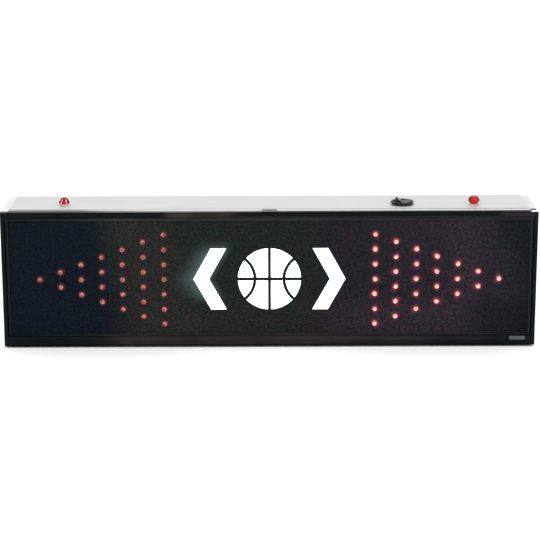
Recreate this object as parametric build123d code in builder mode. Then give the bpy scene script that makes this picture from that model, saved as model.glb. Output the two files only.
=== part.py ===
from build123d import *
import os
from math import cos, pi, radians, sin, tan

# Tabletop ball-possession indicator for a scorer's table: a long aluminium case with a black front.
# Two triangles of red lamps point left and right, and a backlit symbol stands between them.
# Frame: X to the right seen from the front, Y to the back, Z up. Origin under the middle, on the table.
# All sizes are millimetres. The rocker switch is drawn with its right side pressed.

os.makedirs("parts", exist_ok=True)

# ---- case
case_width = 533.4
case_height = 138.6
case_depth = 76.0
foot_height = 1.6
foot_radius = 6.35
cap_width = 8.0
cap_step = 0.8
seam = 0.2
wall = 2.0
flange = 1.5
flange_height = 12.0
front_y = -case_depth / 2
back_y = case_depth / 2
base_z = foot_height
deck_z = foot_height + case_height
display_drop = 0.9
face_z = foot_height + case_height / 2 - display_drop
side_x = case_width / 2
rail_end = side_x - cap_width
cap_top = deck_z - cap_step

# ---- front: bezel land, glazing bead and panel, from the front backwards
bezel_depth = 7.0
housing_y = front_y + bezel_depth
land = 4.0
bezel_wall = 2.5
top_land = 6.6
lip = 0.8
side_land = 3.7
bottom_land = 10.0
bead_radius = 1.9
bottom_bead_radius = 0.6
panel_thickness = 3.0
panel_y = front_y + land
panel_back = panel_y + panel_thickness
panel_gap = 0.4
key_width = 15.0
key_depth = 9.0
key_sunk = 0.2

# ---- lamps of the two arrows
arrow_columns = 7
arrow_base_x = 105.47
column_pitch = 20.63
row_pitch = 15.34
lamp_radius = 2.5
lamp_flange_radius = 2.95
lamp_flange = 1.0
lamp_flange_proud = 0.3
lamp_back_y = panel_y - lamp_flange_proud + lamp_flange
lamp_length = lamp_back_y - front_y
lead_spacing = 2.54
lead = 0.5
lead_tail = 1.5
board = 1.6
board_standoff = 1.7
board_y = panel_back + board_standoff
board_half_height = 54.0
board_inner_x = 97.0
board_outer_x = 238.0
spacer_radius = 3.0
tapped_radius = 1.25
clear_radius = 1.6

# ---- backlit symbol
ball_radius = 31.5
ball_seam = 3.2
ball_arc_radius = 26.0
ball_arc_centre = 40.5
chevron_inner = 43.0
chevron_outer = 76.0
chevron_stroke = 15.5
pad_gap = 0.12
diffuser_half_width = 86.0
diffuser_half_height = 42.0
diffuser = 2.5
box_half_width = 87.0
box_half_height = 44.0
box_back = -4.0

# ---- controls on the deck
pilot_x = 205.7
pilot_y = -6.5
switch_x = 133.7
switch_y = -6.0
switch_tilt = 12.0
contact_tilt = 6.6
pivot_z = deck_z - 1.0

# ---- rear
cover_y = back_y - 3.5
cover_back = cover_y + flange
cover_screw_inset = 8.0
jack_x = -190.0
jack_z = 32.0
control_board_y = cover_y - 6.0


def save(piece, name):
    """Labels a finished piece and writes it under its own name."""
    piece.label = name
    export_step(piece, f"parts/{name}.step")


def block(x, y, z, mode=Mode.ADD):
    """A box between two values on each axis."""
    with Locations((sum(x) / 2, sum(y) / 2, sum(z) / 2)):
        Box(abs(x[1] - x[0]), abs(y[1] - y[0]), abs(z[1] - z[0]), mode=mode)


def strip(u, v, mode=Mode.ADD):
    """A rectangle between two values on each axis of the sketch."""
    with Locations((sum(u) / 2, sum(v) / 2)):
        Rectangle(abs(u[1] - u[0]), abs(v[1] - v[0]), mode=mode)


def facing(y):
    """The upright plane at y that faces the front: its axes are X and Z."""
    return Plane.XZ.offset(-y)


def arrow_points(side):
    """Lamp places of one arrow: seven in the column next to the symbol, down to one at the tip."""
    return [
        (
            side * (arrow_base_x + column * column_pitch),
            face_z + (row - (arrow_columns - 1 - column) / 2) * row_pitch,
        )
        for column in range(arrow_columns)
        for row in range(arrow_columns - column)
    ]


# ---------------------------------------------------------------- rails of the case
boss_radius = 3.2
boss_drop = 5.2
boss_front_y = -25.0
boss_back_y = 27.0
boss_neck = 3.2
cover_screw_x = [-220, -110, 0, 110, 220]
# a line scored along the deck, behind its front edge
score_from = 9.6
score_to = 11.4
score_depth = 0.7


def screw_bosses(z, towards):
    """Two screw channels hung from a rail's plate; towards is +1 where the plate is above them."""
    for y in (boss_front_y, boss_back_y):
        with Locations((y, z)):
            Circle(boss_radius)
        strip((y - boss_neck / 2, y + boss_neck / 2), (z, z + towards * (boss_drop - wall)))


with BuildPart() as top_rail:
    with BuildSketch(Plane.YZ.offset(-rail_end)):
        strip((front_y, back_y), (deck_z - wall, deck_z))
        strip((housing_y, housing_y + flange), (deck_z - flange_height, deck_z - wall))
        strip((cover_y - flange, cover_y), (deck_z - flange_height - wall, deck_z - wall))
        screw_bosses(deck_z - boss_drop, 1)
        with Locations((boss_front_y, deck_z - boss_drop), (boss_back_y, deck_z - boss_drop)):
            Circle(tapped_radius, mode=Mode.SUBTRACT)
        # the front edge is thin, and the bezel fills the step below it
        strip((front_y, housing_y), (deck_z - wall, deck_z - lip), mode=Mode.SUBTRACT)
        strip((front_y + score_from, front_y + score_to), (deck_z - score_depth, deck_z), mode=Mode.SUBTRACT)
    extrude(amount=2 * rail_end)
    fillet(top_rail.edges().filter_by(Axis.X).group_by(Axis.Z)[-1].sort_by(Axis.Y)[0], 0.4)
    fillet(top_rail.edges().filter_by(Axis.X).group_by(Axis.Z)[-1].sort_by(Axis.Y)[-1], 0.8)
    block(
        (-key_width / 2 - 0.1, key_width / 2 + 0.1),
        (front_y, front_y + key_depth + 0.1),
        (deck_z - wall, deck_z),
        mode=Mode.SUBTRACT,
    )
    with Locations((-pilot_x, pilot_y, deck_z), (pilot_x, pilot_y, deck_z)):
        Hole(4.0, depth=2 * wall)
    with Locations((switch_x, switch_y, deck_z)):
        Hole(10.4, depth=2 * wall)
    with BuildSketch(facing(cover_y + 1)):
        with Locations(*[(x, deck_z - cover_screw_inset) for x in cover_screw_x]):
            Circle(tapped_radius)
    extrude(amount=flange + 2, mode=Mode.SUBTRACT)
save(top_rail.part, "top_rail")

with BuildPart() as bottom_rail:
    with BuildSketch(Plane.YZ.offset(-rail_end)):
        strip((housing_y, back_y), (base_z, base_z + wall))
        strip((housing_y, housing_y + flange), (base_z + wall, base_z + flange_height))
        strip((cover_y - flange, cover_y), (base_z + wall, base_z + flange_height + wall))
        screw_bosses(base_z + boss_drop, -1)
        with Locations((boss_front_y, base_z + boss_drop), (boss_back_y, base_z + boss_drop)):
            Circle(tapped_radius, mode=Mode.SUBTRACT)
    extrude(amount=2 * rail_end)
    fillet(bottom_rail.edges().filter_by(Axis.X).group_by(Axis.Z)[0].sort_by(Axis.Y)[-1], 0.8)
    with BuildSketch(facing(cover_y + 1)):
        with Locations(*[(x, base_z + cover_screw_inset) for x in cover_screw_x]):
            Circle(tapped_radius)
    extrude(amount=flange + 2, mode=Mode.SUBTRACT)
save(bottom_rail.part, "bottom_rail")

# ---------------------------------------------------------------- end caps
cap_wall = 2.5
cap_rim = 1.6
cap_post = 4.0
cap_round = 1.4
cap_screw_head = 2.8
# the cap reaches forward over the bezel as a thin flange, a little apart from the rail
cap_lip = 0.6
cap_lip_gap = 0.6
# a slot across the front of the cap's top, which a tab of the black bezel fills
cap_slot_from = 5.4
cap_slot_to = 12.0
cap_slot_inset = 1.5
side_top = cap_top - cap_lip - 0.05
cap_screw_spots = [
    (y, z) for y in (boss_front_y, boss_back_y) for z in (base_z + boss_drop, deck_z - boss_drop)
]

with BuildPart() as end_cap_right:
    inner = rail_end + seam
    block((inner, side_x), (housing_y, back_y), (base_z, cap_top))
    block(
        (inner - 1, side_x - cap_wall),
        (housing_y + flange, back_y - cap_rim),
        (base_z + cap_rim, cap_top - cap_rim),
        mode=Mode.SUBTRACT,
    )
    with BuildSketch(Plane.YZ.offset(inner)):
        with Locations(*cap_screw_spots):
            Circle(cap_post)
    extrude(amount=cap_width - seam - cap_wall)
    for end in (0, -1):
        fillet(end_cap_right.edges().group_by(Axis.X)[-1].filter_by(Axis.Y).sort_by(Axis.Z)[end], cap_round)
    fillet(end_cap_right.edges().group_by(Axis.X)[-1].filter_by(Axis.Z).sort_by(Axis.Y)[-1], 1.0)
    with BuildSketch(facing(housing_y)) as lip_outline:
        strip((inner + cap_lip_gap, side_x), (cap_top - 2 * cap_round, cap_top))
        fillet(lip_outline.vertices().group_by(Axis.Z)[-1].sort_by(Axis.X)[-1], cap_round)
        strip((inner, side_x), (cap_top - 2 * cap_round, cap_top - cap_lip), mode=Mode.SUBTRACT)
    extrude(amount=bezel_depth)
    block(
        (inner - 1, side_x - cap_slot_inset),
        (front_y + cap_slot_from, front_y + cap_slot_to),
        (side_top - 0.05, cap_top + 1),
        mode=Mode.SUBTRACT,
    )
    with BuildSketch(Plane.YZ.offset(inner - 1)):
        with Locations(*cap_screw_spots):
            Circle(clear_radius)
    extrude(amount=cap_width + 2, mode=Mode.SUBTRACT)
    for y, z in cap_screw_spots:
        with Locations(Location((side_x - cap_screw_head / 4, y, z), (0, 90, 0))):
            Cone(clear_radius, cap_screw_head + 0.1, cap_screw_head / 2, mode=Mode.SUBTRACT)
save(end_cap_right.part, "end_cap_right")

with BuildPart() as end_cap_left:
    add(mirror(end_cap_right.part, about=Plane.YZ, mode=Mode.PRIVATE))
save(end_cap_left.part, "end_cap_left")

# ---------------------------------------------------------------- black bezel, bead and panel
strip_end = side_x - side_land - 0.1
lip_z = base_z + 5.0
lip_line = 0.5
plate_width = 15.5
plate_height = 3.9
plate_x = 249.0
plate_z = base_z + 7.5
plate = 0.3
tab_gap = 0.05

with BuildPart() as bezel_top:
    block((-strip_end, strip_end), (front_y, panel_y), (deck_z - top_land, deck_z - lip))
    block((-strip_end, strip_end), (front_y, housing_y), (deck_z - wall - bezel_wall, deck_z - lip))
    # the key that locates the bezel in the notch of the rail
    block((-key_width / 2, key_width / 2), (front_y, front_y + key_depth), (deck_z - wall, deck_z - key_sunk))
    fillet(bezel_top.edges().filter_by(Axis.X).group_by(Axis.Y)[0].sort_by(Axis.Z)[0], 0.5)
    # the ends stay clear of the caps' flanges, which reach forward over the bezel
    for side in (-1, 1):
        block(
            (side * rail_end, side * (side_x + 1)),
            (front_y - 1, housing_y),
            (side_top, deck_z),
            mode=Mode.SUBTRACT,
        )
save(bezel_top.part, "bezel_top")

with BuildPart() as maker_plate:
    with BuildSketch(facing(front_y)):
        with Locations((plate_x, plate_z)):
            RectangleRounded(plate_width, plate_height, 0.6)
    extrude(amount=-plate)
save(maker_plate.part, "maker_plate")

with BuildPart() as bezel_bottom:
    block((-strip_end, strip_end), (front_y, panel_y), (base_z, base_z + bottom_land))
    block((-strip_end, strip_end), (front_y, housing_y), (base_z, base_z + bezel_wall))
    fillet(bezel_bottom.edges().filter_by(Axis.X).group_by(Axis.Y)[0], 0.5)
    # a fine line along the lip
    block((-side_x, side_x), (front_y - 1, front_y + lip_line), (lip_z - lip_line, lip_z), mode=Mode.SUBTRACT)
    # the plate lies in a shallow seat, so its face is level with the bezel
    add(maker_plate.part, mode=Mode.SUBTRACT)
save(bezel_bottom.part, "bezel_bottom")

for side, name in ((1, "bezel_right"), (-1, "bezel_left")):
    with BuildPart() as bezel_side:
        block((side * (side_x - side_land), side * side_x), (front_y, panel_y), (base_z, side_top))
        block((side * (side_x - bezel_wall), side * side_x), (front_y, housing_y), (base_z, side_top))
        outermost = -1 if side > 0 else 0
        outer = bezel_side.faces().sort_by(Axis.X)[outermost]
        fillet(outer.edges().filter_by(Axis.Y).sort_by(Axis.Z)[0], 1.0)
        top_edges = bezel_side.edges().filter_by(Axis.Y).group_by(Axis.Z)[-1]
        chamfer(top_edges.sort_by(Axis.X)[outermost], 0.4)
        fillet(bezel_side.edges().filter_by(Axis.Z).group_by(Axis.Y)[0], 0.5)
        # the tab that fills the slot of the cap
        block(
            (side * (rail_end + seam + tab_gap), side * (side_x - cap_slot_inset - tab_gap)),
            (front_y + cap_slot_from + tab_gap, front_y + cap_slot_to - tab_gap),
            (side_top, cap_top - 2 * tab_gap),
        )
    save(bezel_side.part, name)

bead_side_x = side_x - side_land - bead_radius
bead_top_z = deck_z - top_land - bead_radius
bead_bottom_z = base_z + bottom_land + bottom_bead_radius
bead_end = side_x - side_land

with BuildPart() as glazing_bead:
    with BuildSketch(Plane.YZ.offset(-bead_end)):
        with Locations((panel_y, bead_top_z)):
            Circle(bead_radius)
        with Locations((panel_y, bead_bottom_z)):
            Circle(bottom_bead_radius)
        strip((panel_y, panel_y + 5), (base_z, deck_z), mode=Mode.SUBTRACT)
    extrude(amount=2 * bead_end)
    with BuildSketch(Plane.XY.offset(base_z + bottom_land)):
        with Locations((-bead_side_x, panel_y), (bead_side_x, panel_y)):
            Circle(bead_radius)
        strip((-side_x, side_x), (panel_y, panel_y + 5), mode=Mode.SUBTRACT)
    extrude(amount=case_height - top_land - bottom_land)
save(glazing_bead.part, "glazing_bead")

with BuildSketch() as ball_seams:
    Rectangle(ball_seam, 3 * ball_radius)
    Rectangle(3 * ball_radius, ball_seam)
    for side in (-1, 1):
        with BuildSketch(mode=Mode.PRIVATE) as arc:
            with Locations((side * ball_arc_centre, 0)):
                Circle(ball_arc_radius + ball_seam / 2)
                Circle(ball_arc_radius - ball_seam / 2, mode=Mode.SUBTRACT)
        add(arc.sketch)

with BuildSketch() as symbol:
    Circle(ball_radius)
    add(ball_seams.sketch, mode=Mode.SUBTRACT)
    with BuildLine():
        Polyline(
            (chevron_inner, ball_radius),
            (chevron_inner + chevron_stroke, ball_radius),
            (chevron_outer, 0),
            (chevron_inner + chevron_stroke, -ball_radius),
            (chevron_inner, -ball_radius),
            (chevron_outer - chevron_stroke, 0),
            close=True,
        )
    chevron = make_face()
    mirror(chevron, about=Plane.YZ)

panel_half_width = side_x - bezel_wall - panel_gap
panel_bottom = base_z + bezel_wall + panel_gap
panel_top = deck_z - wall - bezel_wall - panel_gap

with BuildPart() as front_panel:
    with BuildSketch(facing(panel_back)):
        strip((-panel_half_width, panel_half_width), (panel_bottom, panel_top))
        with Locations(*arrow_points(-1), *arrow_points(1)):
            Circle(lamp_flange_radius + 0.1, mode=Mode.SUBTRACT)
        with Locations((0, face_z)):
            add(symbol.sketch, mode=Mode.SUBTRACT)
    extrude(amount=panel_thickness)
save(front_panel.part, "front_panel")

# ---------------------------------------------------------------- backlight
with BuildPart() as symbol_diffuser:
    with BuildSketch(facing(panel_back + diffuser)):
        with Locations((0, face_z)):
            Rectangle(2 * diffuser_half_width, 2 * diffuser_half_height)
    extrude(amount=diffuser)
    with BuildSketch(facing(panel_back)):
        with Locations((0, face_z)):
            add(symbol.sketch)
        offset(amount=-pad_gap, mode=Mode.REPLACE)
    extrude(amount=panel_thickness - 0.2)
save(symbol_diffuser.part, "symbol_diffuser")

box_front = panel_back + diffuser
ear_x = 70.0
ear_z = 49.0
ear_radius = 5.0

with BuildPart() as light_box:
    block(
        (-box_half_width, box_half_width),
        (box_front, box_back),
        (face_z - box_half_height, face_z + box_half_height),
    )
    with BuildSketch(facing(box_front + wall)):
        for x in (-ear_x, ear_x):
            for side in (-1, 1):
                with Locations((x, face_z + side * ear_z)):
                    Circle(ear_radius)
                strip((x - ear_radius, x + ear_radius), (face_z, face_z + side * ear_z))
    extrude(amount=wall)
    block(
        (-box_half_width + wall, box_half_width - wall),
        (box_front - 1, box_back - wall),
        (face_z - box_half_height + wall, face_z + box_half_height - wall),
        mode=Mode.SUBTRACT,
    )
    with BuildSketch(facing(box_front + 2 * wall)):
        with Locations((0, face_z)):
            with GridLocations(2 * ear_x, 2 * ear_z, 2, 2):
                Circle(clear_radius)
    extrude(amount=3 * wall, mode=Mode.SUBTRACT)
    with BuildSketch(facing(box_back + 1)):
        with Locations((60, face_z - 22)):
            Circle(3.0)
    extrude(amount=wall + 2, mode=Mode.SUBTRACT)
save(light_box.part, "light_box")

lamp_board_y = box_back - wall - board
chip = 5.0
chip_height = 1.6

with BuildPart() as lamp_board:
    block((-80, 80), (lamp_board_y, lamp_board_y + board), (face_z - 37, face_z + 37))
save(lamp_board.part, "lamp_board")

with BuildPart() as lamp_leds:
    with BuildSketch(facing(lamp_board_y)):
        with Locations((0, face_z)):
            with GridLocations(17.0, 18.0, 9, 4):
                Rectangle(chip, chip)
    extrude(amount=chip_height)
    with BuildSketch(facing(lamp_board_y - chip_height)):
        with Locations((0, face_z)):
            with GridLocations(17.0, 18.0, 9, 4):
                Circle(2.0)
    extrude(amount=-0.4, mode=Mode.SUBTRACT)
save(lamp_leds.part, "lamp_leds")

# ---------------------------------------------------------------- arrow boards and their lamps
spacer_spots = [(sx * x, face_z + sz * 49.0) for sx in (-1, 1) for x in (116.5, 232.0) for sz in (-1, 1)]
box_spacer_spots = [(sx * ear_x, face_z + sz * ear_z) for sx in (-1, 1) for sz in (-1, 1)]
connector_x = 131.0
connector_z = face_z - 48.5

# one lamp along Z, with the foot of its flange on the plane z = 0 and its leads below
lead_length = board_y + board + lead_tail - lamp_back_y
with BuildPart() as arrow_lamp:
    Cylinder(lamp_flange_radius, lamp_flange, align=(Align.CENTER, Align.CENTER, Align.MIN))
    Cylinder(lamp_radius, lamp_length - lamp_radius, align=(Align.CENTER, Align.CENTER, Align.MIN))
    with Locations((0, 0, lamp_length - lamp_radius)):
        Sphere(lamp_radius)
    for x in (-lead_spacing / 2, lead_spacing / 2):
        with Locations((x, 0, -lead_length / 2)):
            Box(lead, lead, lead_length)

for side, name in ((-1, "left"), (1, "right")):
    points = arrow_points(side)
    with BuildPart() as arrow_leds:
        with Locations(*[Location((x, lamp_back_y, z), (90, 0, 0)) for x, z in points]):
            add(arrow_lamp.part)
    save(arrow_leds.part, f"arrow_leds_{name}")

    with BuildPart() as arrow_board:
        with BuildSketch(facing(board_y + board)):
            strip(
                (side * board_inner_x, side * board_outer_x),
                (face_z - board_half_height, face_z + board_half_height),
            )
            for x, z in points:
                with Locations((x - lead_spacing / 2, z), (x + lead_spacing / 2, z)):
                    Circle(0.45, mode=Mode.SUBTRACT)
            with Locations(*[spot for spot in spacer_spots if spot[0] * side > 0]):
                Circle(clear_radius, mode=Mode.SUBTRACT)
        extrude(amount=board)
    save(arrow_board.part, f"arrow_board_{name}")

with BuildPart() as board_connectors:
    for side in (-1, 1):
        x = side * connector_x
        block((x - 6, x + 6), (board_y + board, board_y + board + 8), (connector_z - 3.5, connector_z + 3.5))
        block(
            (x - 5, x + 5),
            (board_y + board + 3, board_y + board + 9),
            (connector_z - 2.5, connector_z + 2.5),
            mode=Mode.SUBTRACT,
        )
save(board_connectors.part, "board_connectors")

with BuildPart() as board_spacers:
    with BuildSketch(facing(board_y)):
        with Locations(*spacer_spots):
            RegularPolygon(spacer_radius, 6)
            Circle(tapped_radius, mode=Mode.SUBTRACT)
    extrude(amount=board_y - panel_back)
    with BuildSketch(facing(box_front)):
        with Locations(*box_spacer_spots):
            RegularPolygon(spacer_radius, 6)
            Circle(tapped_radius, mode=Mode.SUBTRACT)
    extrude(amount=box_front - panel_back)
save(board_spacers.part, "board_spacers")

# ---------------------------------------------------------------- screws
screw_head = 2.8
screw_head_height = 2.0
screw_shank = 1.2


def cross_recess(z):
    """The cross that a screwdriver turns, sunk from height z."""
    with Locations((0, 0, z)):
        Box(3.4, 0.7, 2.2, mode=Mode.SUBTRACT)
        Box(0.7, 3.4, 2.2, mode=Mode.SUBTRACT)


def pan_screw(length):
    """A pan-head screw along Z: its head stands on the plane z = 0 and its shank hangs below."""
    with BuildPart() as screw:
        Cylinder(screw_head, screw_head_height, align=(Align.CENTER, Align.CENTER, Align.MIN))
        fillet(screw.edges().group_by(Axis.Z)[-1], 0.9)
        Cylinder(screw_shank, length, align=(Align.CENTER, Align.CENTER, Align.MAX))
        chamfer(screw.edges().group_by(Axis.Z)[0], 0.4)
        cross_recess(screw_head_height)
    return screw.part


with BuildPart() as cap_screw:
    Cylinder(screw_shank, 16.0, align=(Align.CENTER, Align.CENTER, Align.MAX))
    with Locations((0, 0, -0.1 - cap_screw_head / 4)):
        Cone(screw_shank, cap_screw_head, cap_screw_head / 2)
    cross_recess(0.0)

with BuildPart() as end_cap_screws:
    for side in (-1, 1):
        spots = [Location((side * side_x, y, z), (0, side * 90, 0)) for y, z in cap_screw_spots]
        with Locations(*spots):
            add(cap_screw.part)
save(end_cap_screws.part, "end_cap_screws")

board_screw = pan_screw(3.2)
cover_screw = pan_screw(5.0)
control_screw = pan_screw(6.0)

with BuildPart() as board_screws:
    spots = [Location((x, board_y + board, z), (-90, 0, 0)) for x, z in spacer_spots]
    spots += [Location((x, box_front + wall, z), (-90, 0, 0)) for x, z in box_spacer_spots]
    with Locations(*spots):
        add(board_screw)
save(board_screws.part, "board_screws")

# ---------------------------------------------------------------- rear cover, power socket
cover_half_width = rail_end - 0.3
cover_screw_z = (base_z + cover_screw_inset, deck_z - cover_screw_inset)
cover_spots = [(x, z) for x in cover_screw_x for z in cover_screw_z]

with BuildPart() as rear_cover:
    with BuildSketch(facing(cover_back)):
        strip((-cover_half_width, cover_half_width), (base_z + wall + 0.3, deck_z - wall - 0.3))
        with Locations(*cover_spots):
            Circle(clear_radius, mode=Mode.SUBTRACT)
        with Locations((jack_x, jack_z)):
            Circle(6.0, mode=Mode.SUBTRACT)
    extrude(amount=flange)
save(rear_cover.part, "rear_cover")

with BuildPart() as rear_cover_screws:
    with Locations(*[Location((x, cover_back, z), (-90, 0, 0)) for x, z in cover_spots]):
        add(cover_screw)
save(rear_cover_screws.part, "rear_cover_screws")

with BuildPart() as rating_plate:
    with BuildSketch(facing(cover_back + 0.3)):
        with Locations((150, 38)):
            RectangleRounded(70, 34, 2)
    extrude(amount=0.3)
save(rating_plate.part, "rating_plate")


def tube(radius, y, mode=Mode.ADD):
    """A round bar along Y at the power socket's place, between two depths."""
    with Locations(Location((jack_x, sum(y) / 2, jack_z), (90, 0, 0))):
        Cylinder(radius, abs(y[1] - y[0]), mode=mode)


with BuildPart() as dc_jack_body:
    tube(5.9, (cover_y - 11, cover_back))
    tube(7.5, (cover_back, cover_back + 1.6))
    fillet(dc_jack_body.edges().group_by(Axis.Y)[-1], 0.6)
    tube(3.1, (cover_back - 8, cover_back + 2), mode=Mode.SUBTRACT)
    tube(1.05, (cover_y - 12, cover_back), mode=Mode.SUBTRACT)
save(dc_jack_body.part, "dc_jack_body")

with BuildPart() as dc_jack_nut:
    with BuildSketch(facing(cover_y)):
        with Locations((jack_x, jack_z)):
            RegularPolygon(8.2, 6)
            Circle(5.95, mode=Mode.SUBTRACT)
    extrude(amount=3.0)
save(dc_jack_nut.part, "dc_jack_nut")

with BuildPart() as dc_jack_contacts:
    tube(1.05, (cover_y - 11, cover_back + 0.4))
    block((jack_x - 1.2, jack_x + 1.2), (cover_y - 17, cover_y - 11), (jack_z - 0.4, jack_z + 0.4))
    block((jack_x - 1.2, jack_x + 1.2), (cover_y - 17, cover_y - 11), (jack_z + 3.4, jack_z + 4.2))
save(dc_jack_contacts.part, "dc_jack_contacts")

# ---------------------------------------------------------------- control board on the rear cover
control_half_width = 60.0
control_z = 65.0
control_half_height = 35.0
control_spots = [(sx * 54.0, control_z + sz * 29.0) for sx in (-1, 1) for sz in (-1, 1)]
parts_y = control_board_y - board
terminal_height = 10.0
low_terminal_z = 36.0
high_terminal_z = 92.0

with BuildPart() as control_board:
    with BuildSketch(facing(control_board_y)):
        with Locations((0, control_z)):
            Rectangle(2 * control_half_width, 2 * control_half_height)
        with Locations(*control_spots):
            Circle(clear_radius, mode=Mode.SUBTRACT)
    extrude(amount=board)
save(control_board.part, "control_board")

with BuildPart() as control_spacers:
    with BuildSketch(facing(cover_y)):
        with Locations(*control_spots):
            RegularPolygon(spacer_radius, 6)
            Circle(tapped_radius, mode=Mode.SUBTRACT)
    extrude(amount=cover_y - control_board_y)
save(control_spacers.part, "control_spacers")

with BuildPart() as control_screws:
    with Locations(*[Location((x, parts_y, z), (90, 0, 0)) for x, z in control_spots]):
        add(control_screw)
save(control_screws.part, "control_screws")


def terminal_block(x, z, ways, entry):
    """Screw terminals in a row along X; the wires enter from the side that entry points to."""
    pitch = 5.0
    half = ways * pitch / 2
    block((x - half, x + half), (parts_y - terminal_height, parts_y), (z - 4, z + 4))
    for way in range(ways):
        centre = x - half + (way + 0.5) * pitch
        block(
            (centre - 1.6, centre + 1.6),
            (parts_y - 6.1, parts_y - 2.9),
            (z + entry * 1, z + entry * 5),
            mode=Mode.SUBTRACT,
        )
        with Locations(Location((centre, parts_y - terminal_height, z), (90, 0, 0))):
            Cylinder(1.6, 3.0, mode=Mode.SUBTRACT)


with BuildPart() as terminal_blocks:
    for x in (-38, -14, 14, 38):
        terminal_block(x, low_terminal_z, 4, -1)
    for x in (-30, 0, 30):
        terminal_block(x, high_terminal_z, 4, 1)
save(terminal_blocks.part, "terminal_blocks")

with BuildPart() as driver_chips:
    for x in (-22, 16):
        block((x - 12, x + 12), (parts_y - 4.2, parts_y - 0.8), (60, 66.6))
        for pin in range(9):
            centre = x - 10.16 + pin * 2.54
            block((centre - 0.3, centre + 0.3), (parts_y - 2.5, parts_y), (59.4, 67.2))
save(driver_chips.part, "driver_chips")

with BuildPart() as capacitors:
    for x, z, radius, height in ((-46, 74, 6.0, 16.0), (-46, 56, 4.0, 11.0), (46, 76, 4.0, 11.0)):
        with BuildSketch(facing(parts_y)):
            with Locations((x, z)):
                Circle(radius)
        extrude(amount=height)
save(capacitors.part, "capacitors")

with BuildPart() as regulator:
    block((38, 54), (parts_y - 18, parts_y), (58, 60))
    for fin in range(4):
        x = 39 + fin * 4.4
        block((x, x + 0.9), (parts_y - 18, parts_y), (60, 67))
    block((41, 51), (parts_y - 13, parts_y - 1), (53.5, 58))
save(regulator.part, "regulator")

# ---------------------------------------------------------------- pilot lamps on the deck
pilot_barrel = 3.8
pilot_collar = 4.6
pilot_collar_height = 0.5
# height above the deck and radius of each ring of the two faceted lenses: the left one is a dome
# on a low brim, and the right one is widest halfway up
pilot_lens_rings = {
    -1: [(0.5, 3.9), (2.6, 5.9), (4.6, 5.0), (6.4, 3.8), (7.5, 2.4)],
    1: [(0.5, 3.7), (4.2, 6.2), (5.6, 5.9), (7.0, 5.0), (7.8, 4.1)],
}
pilot_facets = 12
pilot_lens_bore = 3.9

for side, name in ((-1, "left"), (1, "right")):
    x = side * pilot_x
    with BuildPart() as pilot_body:
        with Locations((x, pilot_y, deck_z)):
            Cylinder(pilot_barrel, 14.0, align=(Align.CENTER, Align.CENTER, Align.MAX))
            Cylinder(pilot_collar, pilot_collar_height, align=(Align.CENTER, Align.CENTER, Align.MIN))
        fillet(pilot_body.edges().group_by(Axis.Z)[-1], 0.4)
        with Locations((x, pilot_y, deck_z + pilot_collar_height)):
            Hole(1.8, depth=20.0)
    save(pilot_body.part, f"pilot_body_{name}")

    with BuildPart() as pilot_lens:
        for height, radius in pilot_lens_rings[side]:
            with BuildSketch(Plane.XY.offset(deck_z + height)):
                with Locations((x, pilot_y)):
                    RegularPolygon(radius, pilot_facets, rotation=15)
        loft(ruled=True)
        with Locations((x, pilot_y, deck_z + pilot_collar_height)):
            Cylinder(1.8, pilot_lens_bore, align=(Align.CENTER, Align.CENTER, Align.MIN), mode=Mode.SUBTRACT)
    save(pilot_lens.part, f"pilot_lens_{name}")

with BuildPart() as pilot_leds:
    with Locations((-pilot_x, pilot_y, deck_z - 2), (pilot_x, pilot_y, deck_z - 2)):
        Cylinder(1.5, 4.6, align=(Align.CENTER, Align.CENTER, Align.MIN))
        Cylinder(1.78, 1.0, align=(Align.CENTER, Align.CENTER, Align.MIN))
    with Locations((-pilot_x, pilot_y, deck_z + 2.6), (pilot_x, pilot_y, deck_z + 2.6)):
        Sphere(1.5)
save(pilot_leds.part, "pilot_leds")

with BuildPart() as pilot_nuts:
    with BuildSketch(Plane.XY.offset(deck_z - wall)):
        with Locations((-pilot_x, pilot_y), (pilot_x, pilot_y)):
            RegularPolygon(6.6, 6)
            Circle(pilot_barrel + 0.05, mode=Mode.SUBTRACT)
    extrude(amount=-2.5)
save(pilot_nuts.part, "pilot_nuts")

# ---------------------------------------------------------------- direction switch
switch_flange_radius = 11.75
switch_flange = 3.4
switch_foot_radius = 10.6
switch_foot_height = 2.3
switch_mouth = 0.6
switch_body_radius = 10.2
switch_bore = 9.5
rocker_radius = 8.3
rocker_valley = 3.6
rocker_skirt = 1.2
wing_angle = 22.5
pin_radius = 1.2
pin_reach = 6.0
pocket_x = 7.4
pocket_y = 4.6
pocket_depth = 13.8
body_depth = 16.8
stem_radius = 2.0
stem_end = -9.0
plunger_radius = 1.15
plunger_end = -11.2
contact_z = -12.0
contact = 0.6
contact_half_length = 6.5
contact_half_width = 2.0
ear_pin_radius = 0.5
terminal_x = 5.2
terminal_half_width = 2.4
terminal = 0.8
terminal_end = -25.5


def tilted(angle, z=pivot_z):
    """The switch's own frame at height z, turned about Y so that its right side goes down."""
    a = radians(angle)
    return Plane((switch_x, switch_y, z), x_dir=(cos(a), 0, -sin(a)), z_dir=(sin(a), 0, cos(a)))


def side_of(frame):
    """The plane of that frame's X and Z axes, facing the front."""
    return Plane(frame.origin, x_dir=frame.x_dir, z_dir=-frame.y_dir)


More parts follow.
